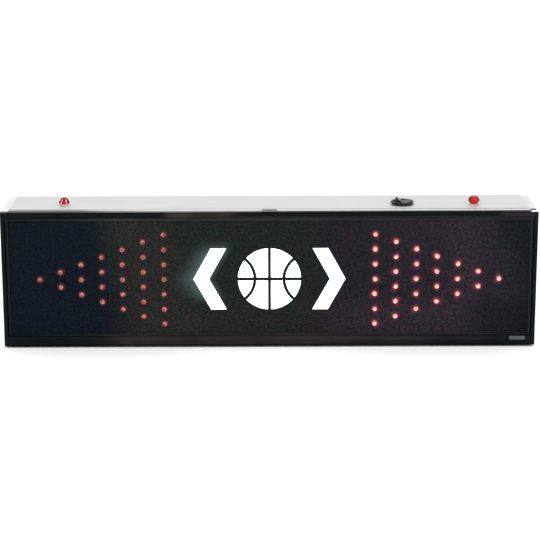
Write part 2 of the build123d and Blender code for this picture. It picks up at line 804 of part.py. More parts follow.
upright = tilted(0)
with BuildPart(upright) as switch_housing:
    with Locations((0, 0, 1.0 + switch_foot_height)):
        Cylinder(
            switch_flange_radius,
            switch_flange - switch_foot_height,
            align=(Align.CENTER, Align.CENTER, Align.MIN),
        )
    fillet(switch_housing.edges().group_by(Axis.Z)[-1], 0.8)
    # the flange narrows towards the deck
    with Locations((0, 0, 1.0)):
        Cone(
            switch_foot_radius,
            switch_flange_radius,
            switch_foot_height,
            align=(Align.CENTER, Align.CENTER, Align.MIN),
        )
    with Locations((0, 0, -body_depth)):
        Cylinder(switch_body_radius, body_depth + 1.0, align=(Align.CENTER, Align.CENTER, Align.MIN))
    with Locations((-switch_body_radius, 0, -1.0), (switch_body_radius, 0, -1.0)):
        Box(1.6, 4.0, 3.0, align=(Align.CENTER, Align.CENTER, Align.MAX))
    with Locations((0, 0, -0.9)):
        Cylinder(switch_bore, 10, align=(Align.CENTER, Align.CENTER, Align.MIN), mode=Mode.SUBTRACT)
    # the mouth of the bore flares, so that the pressed side of the rocker clears it
    with Locations((0, 0, 1.0 + switch_flange - switch_mouth)):
        Cone(
            switch_bore,
            switch_bore + switch_mouth,
            switch_mouth,
            align=(Align.CENTER, Align.CENTER, Align.MIN),
            mode=Mode.SUBTRACT,
        )
    with Locations((0, 0, -pocket_depth)):
        Box(
            2 * pocket_x,
            2 * pocket_y,
            pocket_depth,
            align=(Align.CENTER, Align.CENTER, Align.MIN),
            mode=Mode.SUBTRACT,
        )
    with Locations(Location((0, 0, 0), (90, 0, 0))):
        Cylinder(pin_radius + 0.05, 2 * pin_reach + 0.4, mode=Mode.SUBTRACT)
    with Locations(*[(x, 0, -body_depth) for x in (-terminal_x, 0, terminal_x)]):
        Box(terminal, 2 * terminal_half_width, 8, mode=Mode.SUBTRACT)
save(switch_housing.part, "switch_housing")

rocker_frame = tilted(switch_tilt)
wing_top = rocker_valley + rocker_radius * tan(radians(wing_angle))
with BuildPart(rocker_frame) as switch_rocker:
    with BuildSketch(side_of(rocker_frame)):
        with BuildLine():
            Polyline(
                (-rocker_radius, rocker_skirt),
                (rocker_radius, rocker_skirt),
                (rocker_radius, wing_top),
                (0, rocker_valley),
                (-rocker_radius, wing_top),
                close=True,
            )
        make_face()
    extrude(amount=rocker_radius, both=True)
    Cylinder(rocker_radius, 20, mode=Mode.INTERSECT)
    fillet(switch_rocker.faces().filter_by(GeomType.CYLINDER).edges().group_by(Axis.Z)[-1], 0.6)
    with Locations((0, 0, -4.0)):
        Box(11.0, 8.4, 4.0 + rocker_skirt, align=(Align.CENTER, Align.CENTER, Align.MIN))
    with Locations((0, 0, stem_end)):
        Cylinder(stem_radius, -stem_end - 4.0, align=(Align.CENTER, Align.CENTER, Align.MIN))
    with Locations(Location((0, 0, 0), (90, 0, 0))):
        Cylinder(pin_radius, 2 * pin_reach)
    with Locations((0, 0, stem_end)):
        Cylinder(
            plunger_radius + 0.1, 6.0, align=(Align.CENTER, Align.CENTER, Align.MIN), mode=Mode.SUBTRACT
        )
save(switch_rocker.part, "switch_rocker")

with BuildPart(rocker_frame) as switch_plunger:
    with Locations((0, 0, plunger_end + plunger_radius)):
        Sphere(plunger_radius)
        Cylinder(plunger_radius, 2.2, align=(Align.CENTER, Align.CENTER, Align.MIN))
save(switch_plunger.part, "switch_plunger")

spring_wire = 0.15
spring_radius = 0.9
spring_start = plunger_end + plunger_radius + 2.2 + spring_wire
spring_length = stem_end + 6.0 - spring_wire - spring_start
with BuildPart() as upright_spring:
    with BuildLine() as coil:
        Helix(pitch=spring_length / 6, height=spring_length, radius=spring_radius)
    with BuildSketch(Plane(coil.line @ 0, z_dir=coil.line % 0)):
        Circle(spring_wire)
    sweep()

with BuildPart(rocker_frame) as switch_spring:
    with Locations((0, 0, spring_start)):
        add(upright_spring.part)
save(switch_spring.part, "switch_spring")

contact_frame = tilted(-contact_tilt, pivot_z + contact_z)
with BuildPart(contact_frame) as switch_contact:
    Box(2 * contact_half_length, 2 * contact_half_width, contact)
    with Locations(Location((0, 0, 0), (90, 0, 0))):
        Cylinder(ear_pin_radius, 2 * contact_half_width + 1.8)
save(switch_contact.part, "switch_contact")

with BuildPart(upright) as switch_terminals:
    for x in (-terminal_x, 0, terminal_x):
        top = contact_z - 1.05
        with Locations((x, 0, terminal_end)):
            Box(
                terminal,
                2 * terminal_half_width,
                top - terminal_end,
                align=(Align.CENTER, Align.CENTER, Align.MIN),
            )
    # the middle terminal rises as a fork that carries the tilting contact
    for y in (-1, 1):
        with Locations((0, y * (contact_half_width + 0.6), -pocket_depth)):
            Box(2.4, 0.6, 2.7, align=(Align.CENTER, Align.CENTER, Align.MIN))
        with Locations((0, y * (contact_half_width + 0.35), -pocket_depth)):
            Box(2.4, 1.1, 0.7, align=(Align.CENTER, Align.CENTER, Align.MIN))
    with Locations(Location((0, 0, contact_z), (90, 0, 0))):
        Cylinder(ear_pin_radius + 0.05, 2 * contact_half_width + 4, mode=Mode.SUBTRACT)
save(switch_terminals.part, "switch_terminals")

# ---------------------------------------------------------------- wiring inside the case
cable_radius = 1.5


def bend_radii(points):
    """The bend at each inner point, as large as the two straight runs beside it allow."""
    radii = []
    for before, at, after in zip(points, points[1:], points[2:]):
        first = Vector(*at) - Vector(*before)
        second = Vector(*after) - Vector(*at)
        turn = radians(first.get_angle(second))
        radii.append(0.45 * min(first.length, second.length) / tan(turn / 2))
    return radii


def cable(name, points):
    """A round lead along a route of straight runs joined by arcs."""
    radii = bend_radii(points)
    with BuildPart() as wire:
        with BuildLine():
            route = FilletPolyline(*points, radius=radii)
        with BuildSketch(Plane(points[0], z_dir=Vector(*points[1]) - Vector(*points[0]))):
            Circle(cable_radius)
        sweep()
    section = pi * cable_radius**2
    print(name, "smallest bend", round(min(radii), 1), "volume/expected",
          round(wire.part.volume / (section * route.length), 4))
    save(wire.part, name)


low_end = (low_terminal_z - 2, parts_y - 4.5)
high_end = (high_terminal_z + 2, parts_y - 4.5)
connector_back = board_y + board + 3


def to_low_terminal(x):
    """The last points of a lead that rises into a lower terminal."""
    return [(x, low_end[1] - 5, 16), (x, low_end[1], 24), (x, low_end[1], low_end[0])]


def to_high_terminal(x):
    """The last points of a lead that drops into an upper terminal."""
    return [(x, high_end[1] - 5, 113), (x, high_end[1], 105), (x, high_end[1], high_end[0])]


cable(
    "cable_power",
    [(jack_x, cover_y - 17, jack_z), (jack_x, 6, jack_z), (jack_x + 18, 0, 20), (-120, 6, 15),
     (-80, 10, 13), *to_low_terminal(-45.5)],
)
cable(
    "cable_arrow_left",
    [(-connector_x, connector_back, connector_z), (-connector_x, -10, connector_z),
     (-112, -1, 17), (-75, 2, 14), (-45, 8, 11), *to_low_terminal(-21.5)],
)
cable(
    "cable_arrow_right",
    [(connector_x, connector_back, connector_z), (connector_x, -10, connector_z),
     (112, -1, 17), (75, 2, 14), (42, 8, 11), *to_low_terminal(21.5)],
)
cable(
    "cable_lamp",
    [(60, box_back - wall, face_z - 22), (60, 4, face_z - 22), (66, 9, 32),
     (58, 12, 18), *to_low_terminal(40.5)],
)
cable(
    "cable_switch",
    [(switch_x, switch_y, pivot_z + terminal_end), (switch_x, switch_y, 104), (118, 6, 97),
     (84, 10, 104), (58, 14, 112), *to_high_terminal(32.5)],
)
cable(
    "cable_pilot_left",
    [(-pilot_x, pilot_y, deck_z - 2), (-pilot_x, pilot_y, 119), (-190, 4, 113), (-140, 9, 117),
     (-90, 12, 114), (-52, 14, 118), *to_high_terminal(-27.5)],
)
cable(
    "cable_pilot_right",
    [(pilot_x, pilot_y, deck_z - 2), (pilot_x, pilot_y, 119), (192, 8, 113), (150, 14, 118),
     (100, 12, 120), (50, 13, 118), (22, 14, 120), *to_high_terminal(2.5)],
)

# ---------------------------------------------------------------- feet
with BuildPart() as rubber_feet:
    with BuildSketch(Plane.XY):
        with Locations(*[(x, y) for x in (-236, 236) for y in (-19.6, 24.0)]):
            Circle(foot_radius - 0.6)
    extrude(amount=foot_height, taper=-13)
save(rubber_feet.part, "rubber_feet")
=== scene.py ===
"""Looks of the tabletop possession indicator around its CAD frame.

The materials, the lamps and cut lenses, the floor, the light and the camera.
"""

import math

import bpy
import numpy as np
from mathutils import Matrix, Vector


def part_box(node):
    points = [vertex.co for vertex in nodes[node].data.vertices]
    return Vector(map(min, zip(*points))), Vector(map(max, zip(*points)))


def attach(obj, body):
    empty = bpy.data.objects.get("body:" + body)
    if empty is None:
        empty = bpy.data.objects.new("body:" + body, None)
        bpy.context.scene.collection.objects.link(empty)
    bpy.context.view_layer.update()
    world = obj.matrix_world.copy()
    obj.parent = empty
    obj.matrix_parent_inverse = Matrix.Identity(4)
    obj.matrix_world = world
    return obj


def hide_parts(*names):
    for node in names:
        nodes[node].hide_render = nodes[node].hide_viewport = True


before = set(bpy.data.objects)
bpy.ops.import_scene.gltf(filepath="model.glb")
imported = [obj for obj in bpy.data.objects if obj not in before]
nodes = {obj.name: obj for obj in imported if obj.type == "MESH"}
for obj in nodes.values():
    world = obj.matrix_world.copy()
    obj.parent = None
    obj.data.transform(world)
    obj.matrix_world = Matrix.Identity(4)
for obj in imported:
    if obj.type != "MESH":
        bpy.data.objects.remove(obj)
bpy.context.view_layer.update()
MM = 0.001

# The front face, the deck and the panel, as the CAD places them.
front_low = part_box("bezel_bottom")[0]
FRONT_Y = front_low.y
PANEL_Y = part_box("front_panel")[0].y
DECK_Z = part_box("top_rail")[1].z

# the lowest strip of the bezel is in its own shade up to here
LAND_FOOT = front_low.z + 1.6 * MM
# the grey painted on the top of the key that lies in the front edge of the deck, as light on it
KEY_LIGHT_TONE = 0.12
# the line scored along the deck
SCORE_Y = FRONT_Y + 10.5 * MM
SCORE_HALF_WIDTH = 1.4 * MM
# the tip of the left chevron of the symbol, and how far its edge leans back per step up or down
CHEVRON_TIP = 76 * MM
CHEVRON_LEAN = 0.55
# how metallic the anodised aluminium is
ANODISED = 0.85


# ---------------------------------------------------------------- reading places from the frame
def solids_of(node):
    """The separate solids of a CAD node, each as an array of its points, ordered by X, then Z."""
    mesh = nodes[node].data
    points = np.array([v.co for v in mesh.vertices], float)
    keys, inverse = np.unique(np.round(points, 6), axis=0, return_inverse=True)
    inverse = inverse.reshape(-1)
    parent = list(range(len(keys)))

    def root(i):
        while parent[i] != i:
            parent[i] = parent[parent[i]]
            i = parent[i]
        return i

    for edge in mesh.edges:
        a, b = root(inverse[edge.vertices[0]]), root(inverse[edge.vertices[1]])
        if a != b:
            parent[a] = b
    roots = np.array([root(i) for i in range(len(keys))])
    groups = [keys[roots == r] for r in sorted(set(roots))]
    return sorted(groups, key=lambda g: (round(g[:, 0].mean(), 4), round(g[:, 2].mean(), 4)))


def lamp_places(node):
    """The axis (x, z) of each lamp of an arrow."""
    return [
        ((g[:, 0].min() + g[:, 0].max()) / 2, (g[:, 2].min() + g[:, 2].max()) / 2)
        for g in solids_of(node)
    ]


left_lamps = lamp_places("arrow_leds_left")
right_lamps = lamp_places("arrow_leds_right")
lamp_columns = sorted({round(x, 4) for x, z in right_lamps})
lamp_rows = sorted({round(z, 4) for x, z in right_lamps if abs(x - lamp_columns[0]) < 0.001})
FACE_Z = (lamp_rows[0] + lamp_rows[-1]) / 2
COLUMN_PITCH = lamp_columns[1] - lamp_columns[0]
ROW_PITCH = lamp_rows[1] - lamp_rows[0]


# ---------------------------------------------------------------- material building
# the inputs and the output of a mix node that are for colours; they share their names with others
MIX_SHARE, MIX_A, MIX_B, MIX_RESULT = 0, 6, 7, 2


class Surface:
    """A principled material and the few node calls that the materials below are made of."""

    def __init__(self, name, **constants):
        self.material = bpy.data.materials.new(name)
        self.material.use_nodes = True
        self.tree = self.material.node_tree
        self.shader = next(n for n in self.tree.nodes if n.type == "BSDF_PRINCIPLED")
        for socket, value in constants.items():
            self.shader.inputs[socket.replace("_", " ")].default_value = value

    def node(self, kind, **settings):
        made = self.tree.nodes.new(kind)
        for name, value in settings.items():
            setattr(made, name, value)
        return made

    def put(self, socket, value):
        """Feeds an input with another node's output, or with a plain value."""
        if isinstance(value, bpy.types.NodeSocket):
            self.tree.links.new(value, socket)
        else:
            socket.default_value = value

    def set(self, name, value):
        self.put(self.shader.inputs[name], value)

    def math(self, operation, a, b=0.0):
        made = self.node("ShaderNodeMath", operation=operation)
        self.put(made.inputs[0], a)
        self.put(made.inputs[1], b)
        return made.outputs[0]

    def length(self, a, b):
        """The long side of the right triangle whose short sides are a and b."""
        squares = self.math("ADD", self.math("MULTIPLY", a, a), self.math("MULTIPLY", b, b))
        return self.math("SQRT", squares)

    def place(self):
        """The point in the object's own frame, in metres, as its three parts."""
        split = self.node("ShaderNodeSeparateXYZ")
        self.put(split.inputs[0], self.coords())
        return split.outputs

    def coords(self, stretch=None):
        """The point in the object's own frame as one vector, stretched along its axes if asked."""
        made = self.node("ShaderNodeTexCoord").outputs["Object"]
        if stretch is None:
            return made
        mapping = self.node("ShaderNodeMapping")
        self.put(mapping.inputs["Vector"], made)
        mapping.inputs["Scale"].default_value = stretch
        return mapping.outputs[0]

    def noise(self, size, detail=3.0, rough=0.5, stretch=None):
        """Soft noise whose lumps are about size metres across, from 0 to 1."""
        made = self.node("ShaderNodeTexNoise")
        self.put(made.inputs["Vector"], self.coords(stretch))
        made.inputs["Scale"].default_value = 1 / size
        made.inputs["Detail"].default_value = detail
        made.inputs["Roughness"].default_value = rough
        return made.outputs["Fac"]

    def sway(self, size, reach, detail=0, middle=0.5):
        """Noise that swings to both sides of 0 and spans about reach."""
        return self.math("MULTIPLY", self.math("SUBTRACT", self.noise(size, detail), middle), reach)

    def cells(self, size):
        """Rounded cells about size metres across, 0 at the middle of each."""
        made = self.node("ShaderNodeTexVoronoi", feature="SMOOTH_F1")
        self.put(made.inputs["Vector"], self.coords())
        made.inputs["Scale"].default_value = 1 / size
        return made.outputs["Distance"]

    def spread(self, value, low, high, to_low=0.0, to_high=1.0, smooth=False):
        """Turns the span low to high into to_low to to_high, and holds it beyond."""
        kind = "SMOOTHSTEP" if smooth else "LINEAR"
        made = self.node("ShaderNodeMapRange", interpolation_type=kind, clamp=True)
        for socket, number in zip(made.inputs, (value, low, high, to_low, to_high)):
            self.put(socket, number)
        return made.outputs[0]

    def mix(self, share, a, b, blend="MIX"):
        made = self.node("ShaderNodeMix", data_type="RGBA", blend_type=blend)
        self.put(made.inputs[MIX_SHARE], share)
        self.put(made.inputs[MIX_A], a)
        self.put(made.inputs[MIX_B], b)
        return made.outputs[MIX_RESULT]

    def ramp(self, value, stops):
        """A colour that runs smoothly through (value, colour) stops."""
        low, high = stops[0][0], stops[-1][0]
        made = self.node("ShaderNodeValToRGB")
        self.put(made.inputs[0], self.spread(value, low, high))
        made.color_ramp.interpolation = "EASE"
        for at, colour in stops[1:-1]:
            made.color_ramp.elements.new((at - low) / (high - low)).color = colour
        made.color_ramp.elements[0].color = stops[0][1]
        made.color_ramp.elements[-1].color = stops[-1][1]
        return made.outputs[0]

    def times(self, colour, factor):
        """A colour made brighter or darker by a number or by another output."""
        return self.mix(1.0, colour, factor, "MULTIPLY")

    def attribute(self, name):
        """The three parts of a vector kept on the mesh."""
        split = self.node("ShaderNodeSeparateXYZ")
        kept = self.node("ShaderNodeAttribute", attribute_name=name)
        self.put(split.inputs[0], kept.outputs["Vector"])
        return split.outputs

    def uneven_gloss(self, one, two, low, high):
        """Roughness between low and high that follows the sum of two noises."""
        self.set("Roughness", self.spread(self.math("ADD", one, two), 0.7, 1.3, low, high))

    def bump(self, height, distance, strength=1.0):
        made = self.node("ShaderNodeBump")
        self.put(made.inputs["Height"], height)
        made.inputs["Distance"].default_value = distance
        made.inputs["Strength"].default_value = strength
        self.set("Normal", made.outputs[0])


def grey(value, warmth=0.0):
    """A grey with a little red added and blue taken away."""
    return (value * (1 + warmth), value, value * (1 - warmth), 1)


def satin(s, tone, streak_axis):
    """Satin aluminium with fine lines drawn along its length, faint smudges and softer patches."""
    lines = s.noise(60 * MM, 5, 0.65, streak_axis)
    smudge = s.noise(45 * MM, 3)
    colour = s.mix(s.spread(lines, 0.3, 0.7), grey(tone * 0.93), grey(tone * 1.05, 0.004))
    handled = s.math("ADD", lines, s.math("MULTIPLY", smudge, 0.6))
    s.set("Roughness", s.spread(handled, 0.5, 1.1, 0.46, 0.64))
    s.bump(lines, 0.05 * MM, 0.5)
    return s.mix(s.spread(smudge, 0.35, 0.75, 0, 0.5), colour, grey(tone * 0.9, 0.006))


def silver_rail():
    """The rails: their front edge is painted darker and less metallic than the deck, a painted
    reflection of the dark room in front, and the line scored on it is painted with light and shade.
    """
    s = Surface("silver_extrusion", Metallic=ANODISED)
    colour = satin(s, 0.62, (1, 60, 60))
    x, y, z = s.place()
    # the painted dark reflection along the front edge is broad at the left end and narrows in two
    # steps
    behind = s.math("SUBTRACT", y, FRONT_Y)
    broad = s.spread(x, -0.19, -0.165, 8.2 * MM, 5.0 * MM)
    edge_width = s.math("SUBTRACT", broad, s.spread(x, -0.165, -0.09, 0.0, 3.2 * MM))
    edge = s.spread(s.math("SUBTRACT", behind, edge_width), -0.9 * MM, 0.9 * MM, 1, 0)
    painted_edge_shade = s.ramp(x, [
        (-0.26, grey(0.16)), (-0.19, grey(0.19)), (-0.15, grey(0.46)), (-0.12, grey(0.50)),
        (-0.06, grey(0.42)), (0.05, grey(0.14)), (0.15, grey(0.06)), (0.26, grey(0.03)),
    ])
    painted_edge_shade = s.times(painted_edge_shade, s.spread(behind, 2.5 * MM, 6.5 * MM, 0.62, 1.2))
    # the scored line is painted light at the left, over its own shade, so that it hardly shows, and
    # painted dark at the right as shade
    sunk = s.spread(z, DECK_Z - 0.02 * MM, DECK_Z - 0.08 * MM)
    beside_score = s.math("ABSOLUTE", s.math("SUBTRACT", y, SCORE_Y))
    scored = s.math("MULTIPLY", sunk, s.math("LESS_THAN", beside_score, SCORE_HALF_WIDTH))
    painted_score_tone = s.ramp(x, [
        (-0.26, grey(1.1)), (0.0, grey(0.95)), (0.12, grey(0.65)),
        (0.20, grey(0.16)), (0.26, grey(0.05)),
    ])
    shade = s.mix(scored, s.mix(edge, grey(1.0), painted_edge_shade), painted_score_tone)
    s.set("Base Color", s.times(colour, shade))
    s.set("Metallic", s.spread(edge, 0.0, 1.0, ANODISED, 0.3))
    return s.material


def silver_cap(name, tone, painted_lip_tone):
    """A cast end cap, with a tone painted on the thin lip that reaches over the bezel: painted
    shade where it is dark.
    """
    s = Surface(name, Metallic=ANODISED)
    colour = satin(s, tone, (14, 14, 14))
    _, y, _ = s.place()
    lip = s.spread(y, FRONT_Y + 5.2 * MM, FRONT_Y + 5.6 * MM, 1, 0)
    s.set("Base Color", s.mix(lip, colour, grey(painted_lip_tone)))
    s.set("Metallic", s.spread(lip, 0.0, 1.0, ANODISED, 0.0))
    return s.material


def moulded_black(name, colour, rough, grain, depth, level, coat=0.0):
    """Black plastic or rubber with a fine grain, uneven gloss and a little tone in it."""
    s = Surface(name, Coat_Weight=coat, Coat_Roughness=0.12, Specular_IOR_Level=level)
    patches = s.noise(30 * MM, 4)
    lumps = s.noise(grain, 2)
    lifted = tuple(min(1, c * 1.9 + 0.002) for c in colour[:3]) + (1,)
    s.set("Base Color", s.mix(s.spread(patches, 0.3, 0.8), colour, lifted))
    s.uneven_gloss(patches, lumps, rough - 0.07, rough + 0.08)
    s.bump(lumps, depth)
    return s.material


def bezel_surface(name):
    """The satin black of the four bezels before its colour, and the slow patches in it."""
    s = Surface(name, Specular_IOR_Level=0.05)
    patches = s.noise(30 * MM, 4)
    lumps = s.noise(0.8 * MM, 2)
    s.uneven_gloss(patches, lumps, 0.43, 0.58)
    s.bump(lumps, 0.03 * MM)
    return s, patches


def black_land(name, stops, inner_stops):
    """The black bezel along the panel: its tone drifts along it, and shade is painted deepest at
    its lower edge.

    inner_stops hold from about 5.5 mm below the deck downwards: for the strip beside the bead,
    paler on the top bezel as a painted highlight spread from the bead, and for all of the lower
    bezel.
    """
    s, patches = bezel_surface(name)
    x, _, z = s.place()
    beside_bead = s.spread(z, DECK_Z - 5.1 * MM, DECK_Z - 5.9 * MM)
    tone = s.mix(beside_bead, s.ramp(x, stops), s.ramp(x, inner_stops))
    tone = s.times(tone, s.spread(patches, 0.3, 0.8, 0.75, 1.35))
    # the painted shade at the foot is a thin line at the left and a broad band at the right
    foot_top = s.math("ADD", s.spread(x, 0.05, 0.08, 1.0 * MM, 4.5 * MM), LAND_FOOT)
    tone = s.times(tone, s.spread(z, LAND_FOOT, foot_top, 0.3, 1.0))
    # the key that shows in the edge of the deck is painted grey on top, in blotches, as light
    # falling on it
    painted_key_light = s.spread(s.noise(3.0 * MM, 3, 0.6), 0.3, 0.7, 0.5 * KEY_LIGHT_TONE, 1.8 * KEY_LIGHT_TONE)
    s.set("Base Color", s.mix(s.spread(z, DECK_Z - 0.5 * MM, DECK_Z - 0.3 * MM), tone, painted_key_light))
    return s.material


def side_bezel(name, painted_tab_tone):
    """The black bezel at one end, with a tone painted on the tab that lies in the cap's slot: a
    light grey there is a painted reflection.
    """
    s, patches = bezel_surface(name)
    _, _, z = s.place()
    darkest, palest = (0.0026, 0.0034, 0.0044, 1), (0.0070, 0.0085, 0.0104, 1)
    black = s.mix(s.spread(patches, 0.3, 0.8), darkest, palest)
    tab = s.spread(z, DECK_Z - 1.25 * MM, DECK_Z - 1.05 * MM)
    s.set("Base Color", s.mix(tab, black, grey(painted_tab_tone)))
    return s.material


def glazing_bead():
    """Half-round satin black trim, palest left of the middle and almost black at its left end."""
    s = Surface("satin_bead", Specular_IOR_Level=0.14)
    x, _, _ = s.place()
    patches = s.noise(24 * MM, 4)
    tone = s.ramp(x, [
        (-0.262, (0.0030, 0.0055, 0.0065, 1)), (-0.21, (0.0060, 0.0085, 0.0105, 1)),
        (-0.155, (0.0245, 0.0250, 0.0245, 1)), (-0.09, (0.0205, 0.0200, 0.0190, 1)),
        (0.05, (0.0205, 0.0205, 0.0215, 1)), (0.09, (0.0150, 0.0148, 0.0160, 1)),
        (0.20, (0.0160, 0.0165, 0.0190, 1)), (0.262, (0.0095, 0.0105, 0.0125, 1)),
    ])
    s.set("Base Color", s.times(tone, s.spread(patches, 0.3, 0.8, 0.8, 1.3)))
    s.set("Roughness", s.spread(patches, 0.3, 0.7, 0.42, 0.58))
    return s.material


def lattice_distance(s, x, z):
    """The distance to the nearest lamp of the arrow on the +X side, in metres."""
    last = len(lamp_columns) - 1
    column_at = s.math("DIVIDE", s.math("SUBTRACT", x, lamp_columns[0]), COLUMN_PITCH)
    column = s.math("MINIMUM", s.math("MAXIMUM", s.math("ROUND", column_at), 0.0), float(last))
    half_height = s.math("MULTIPLY", s.math("SUBTRACT", float(last), column), 0.5)
    row_at = s.math("ADD", s.math("DIVIDE", s.math("SUBTRACT", z, FACE_Z), ROW_PITCH), half_height)
    top_row = s.math("MULTIPLY", half_height, 2.0)
    row = s.math("MINIMUM", s.math("MAXIMUM", s.math("ROUND", row_at), 0.0), top_row)
    across = s.math("MULTIPLY", s.math("SUBTRACT", column_at, column), COLUMN_PITCH)
    up = s.math("MULTIPLY", s.math("SUBTRACT", row_at, row), ROW_PITCH)
    return s.length(across, up)


def textured_panel():
    """Black haircell sheet, bluish at the left, olive in the middle and violet at the right.

    The lamps and the symbol light the sheet around them.
    """
    s = Surface("textured_panel", Specular_IOR_Level=0.04, Emission_Strength=1.0)
    x, _, z = s.place()
    wander = s.sway(70 * MM, 0.06, detail=3)
    slant = s.math("MULTIPLY", s.math("SUBTRACT", z, FACE_Z), 0.2)
    along = s.math("ADD", s.math("ADD", x, wander), slant)
    tone = s.ramp(along, [
        (-0.26, (0.0029, 0.0059, 0.0109, 1)), (-0.175, (0.0034, 0.0062, 0.0112, 1)),
        (-0.125, (0.0156, 0.0164, 0.0141, 1)), (-0.10, (0.0145, 0.0158, 0.0136, 1)),
        (-0.075, (0.0098, 0.0130, 0.0112, 1)), (0.03, (0.0094, 0.0122, 0.0112, 1)),
        (0.08, (0.0117, 0.0109, 0.0139, 1)), (0.16, (0.0150, 0.0125, 0.0170, 1)),
        (0.20, (0.0209, 0.0156, 0.0228, 1)), (0.225, (0.0139, 0.0132, 0.0173, 1)),
        (0.262, (0.0059, 0.0077, 0.0109, 1)),
    ])
    # its lower part is paler from the symbol to the right arrow and darker at the right end
    low_part = s.spread(z, FACE_Z - 12 * MM, FACE_Z - 34 * MM, smooth=True)
    low_tone = s.ramp(x, [
        (-0.26, grey(1.0)), (-0.10, grey(1.0)),
        (-0.06, (1.35, 1.05, 1.2, 1)), (0.04, (1.3, 1.0, 1.2, 1)),
        (0.10, (1.5, 1.38, 1.45, 1)), (0.165, (1.4, 1.3, 1.36, 1)),
        (0.215, (0.60, 0.72, 0.70, 1)), (0.262, (0.60, 0.72, 0.70, 1)),
    ])
    tone = s.times(tone, s.mix(low_part, grey(1.0), low_tone))
    # the grain: rosy and greenish flecks, and light and dark ones
    speck = s.noise(2.4 * MM, 3, 0.65)
    fine = s.noise(1.1 * MM, 2, 0.6)
    rosy, greenish = (1.35, 0.84, 1.10, 1), (0.66, 1.14, 0.94, 1)
    tint = s.mix(s.spread(s.noise(5.0 * MM, 3, 0.6), 0.3, 0.7), rosy, greenish)
    tone = s.times(s.times(tone, tint), s.spread(speck, 0.32, 0.68, 0.4, 1.6))
    # dull red around each lamp of the unlit arrow
    beside = lattice_distance(s, s.math("MULTIPLY", x, -1.0), z)
    reddened = s.spread(beside, 3.0 * MM, 5.0 * MM, 0.85, 0, smooth=True)
    tone = s.mix(reddened, tone, (0.060, 0.017, 0.015, 1))
    s.set("Base Color", tone)
    s.set("Roughness", s.spread(fine, 0.3, 0.7, 0.45, 0.65))
    s.bump(s.math("ADD", fine, s.math("MULTIPLY", speck, 0.6)), 0.25 * MM, 0.8)

    # red light of the lit arrow around each of its lamps
    stray_x = s.sway(12 * MM, 5 * MM)
    stray_z = s.sway(9 * MM, 5 * MM, middle=0.42)
    far = lattice_distance(s, s.math("ADD", x, stray_x), s.math("ADD", z, stray_z))
    lamp_glow = s.math("POWER", s.spread(far, 1.8 * MM, 6.6 * MM, 1, 0), 1.7)
    # pale green-blue light that leaks past the left edge of the symbol
    up = s.math("ABSOLUTE", s.math("SUBTRACT", z, FACE_Z))
    edge_x = s.math("SUBTRACT", s.math("MULTIPLY", up, CHEVRON_LEAN), CHEVRON_TIP)
    clear = s.math("SUBTRACT", edge_x, x)
    leak = s.math("POWER", s.spread(clear, 0.0, 26 * MM, 1, 0), 2.2)
    leak = s.math("MULTIPLY", leak, s.spread(clear, -22 * MM, -10 * MM))
    from_middle = s.math("ABSOLUTE", s.math("SUBTRACT", z, FACE_Z + 6 * MM))
    ends = s.spread(from_middle, 17 * MM, 35 * MM, 1, 0, smooth=True)
    red_light = s.times((0.21, 0.013, 0.022, 1), lamp_glow)
    pale_light = s.times((0.062, 0.104, 0.102, 1), s.math("MULTIPLY", leak, ends))
    s.set("Emission Color", s.mix(1.0, red_light, pale_light, "ADD"))
    return s.material


def opal_glow():
    """White acrylic lit from behind, with slow clouds of a little more and less light."""
    s = Surface("opal_glow", Roughness=0.25, Emission_Strength=2.6)
    cloud = s.noise(14 * MM, 2)
    s.set("Base Color", s.mix(cloud, (0.86, 0.90, 0.90, 1), (0.94, 0.96, 0.95, 1)))
    cool = (0.90, 1.0, 0.98, 1)
    s.set("Emission Color", s.mix(s.spread(cloud, 0.35, 0.65), cool, grey(1.0)))
    return s.material


def lamp_unlit():
    """Clear red resin with nothing lit in it: a dark well in a pale ring, a painted reflection,
    that is open on one side.

    The well leans another way in each lamp. Distances across a lamp are in shares of its radius.
    """
    s = Surface("lamp_unlit", Roughness=0.15, IOR=1.5, Specular_IOR_Level=0.3)
    across, up, out = s.attribute("lamp_place")
    lean_x = s.sway(17 * MM, 2.4)
    lean_z = s.math("ADD", s.sway(13 * MM, 2.4), 0.12)
    well_x = s.math("MULTIPLY", s.math("ADD", across, lean_x), 1.12)
    well_z = s.math("ADD", up, lean_z)
    outside_well = s.spread(s.length(well_x, well_z), 0.42, 0.74, smooth=True)
    ring = s.math("MULTIPLY", outside_well, s.spread(out, 1.04, 0.88, smooth=True))
    share = s.math("MULTIPLY", ring, s.spread(s.noise(9 * MM, 1), 0.35, 0.65, 0.45, 1.0))
    resin, rim = (0.24, 0.030, 0.036, 1), (0.030, 0.003, 0.004, 1)
    # the pale ring is a painted reflection of the light in the dome
    painted_reflection_ring = (0.47, 0.225, 0.205, 1)
    s.set("Base Color", s.mix(share, s.mix(s.spread(out, 0.98, 1.1), resin, rim), painted_reflection_ring))
    return s.material


def lamp_lit():
    """The same resin with its die lit: a near-white core that falls to deep red at the rim."""
    s = Surface("lamp_lit", Roughness=0.2, IOR=1.5, Emission_Strength=0.97)
    across, up, out = s.attribute("lamp_place")
    brightness = s.spread(s.noise(13 * MM, 1), 0.3, 0.7, 0.85, 1.03)
    lean_x = s.sway(12 * MM, 0.7)
    lean_z = s.sway(9 * MM, 0.7, middle=0.42)
    reach = s.length(s.math("ADD", across, lean_x), s.math("ADD", up, lean_z))
    core = s.ramp(reach, [
        (0.0, (0.92, 0.55, 0.50, 1)), (0.22, (0.97, 0.69, 0.63, 1)),
        (0.62, (0.94, 0.62, 0.56, 1)), (0.90, (0.66, 0.29, 0.26, 1)),
        (1.08, (0.28, 0.06, 0.06, 1)), (1.3, (0.12, 0.014, 0.019, 1)),
    ])
    resin, rim = (0.10, 0.03, 0.03, 1), (0.03, 0.003, 0.004, 1)
    s.set("Base Color", s.mix(s.spread(out, 0.6, 1.0), resin, rim))
    s.set("Emission Color", s.times(core, brightness))
    return s.material


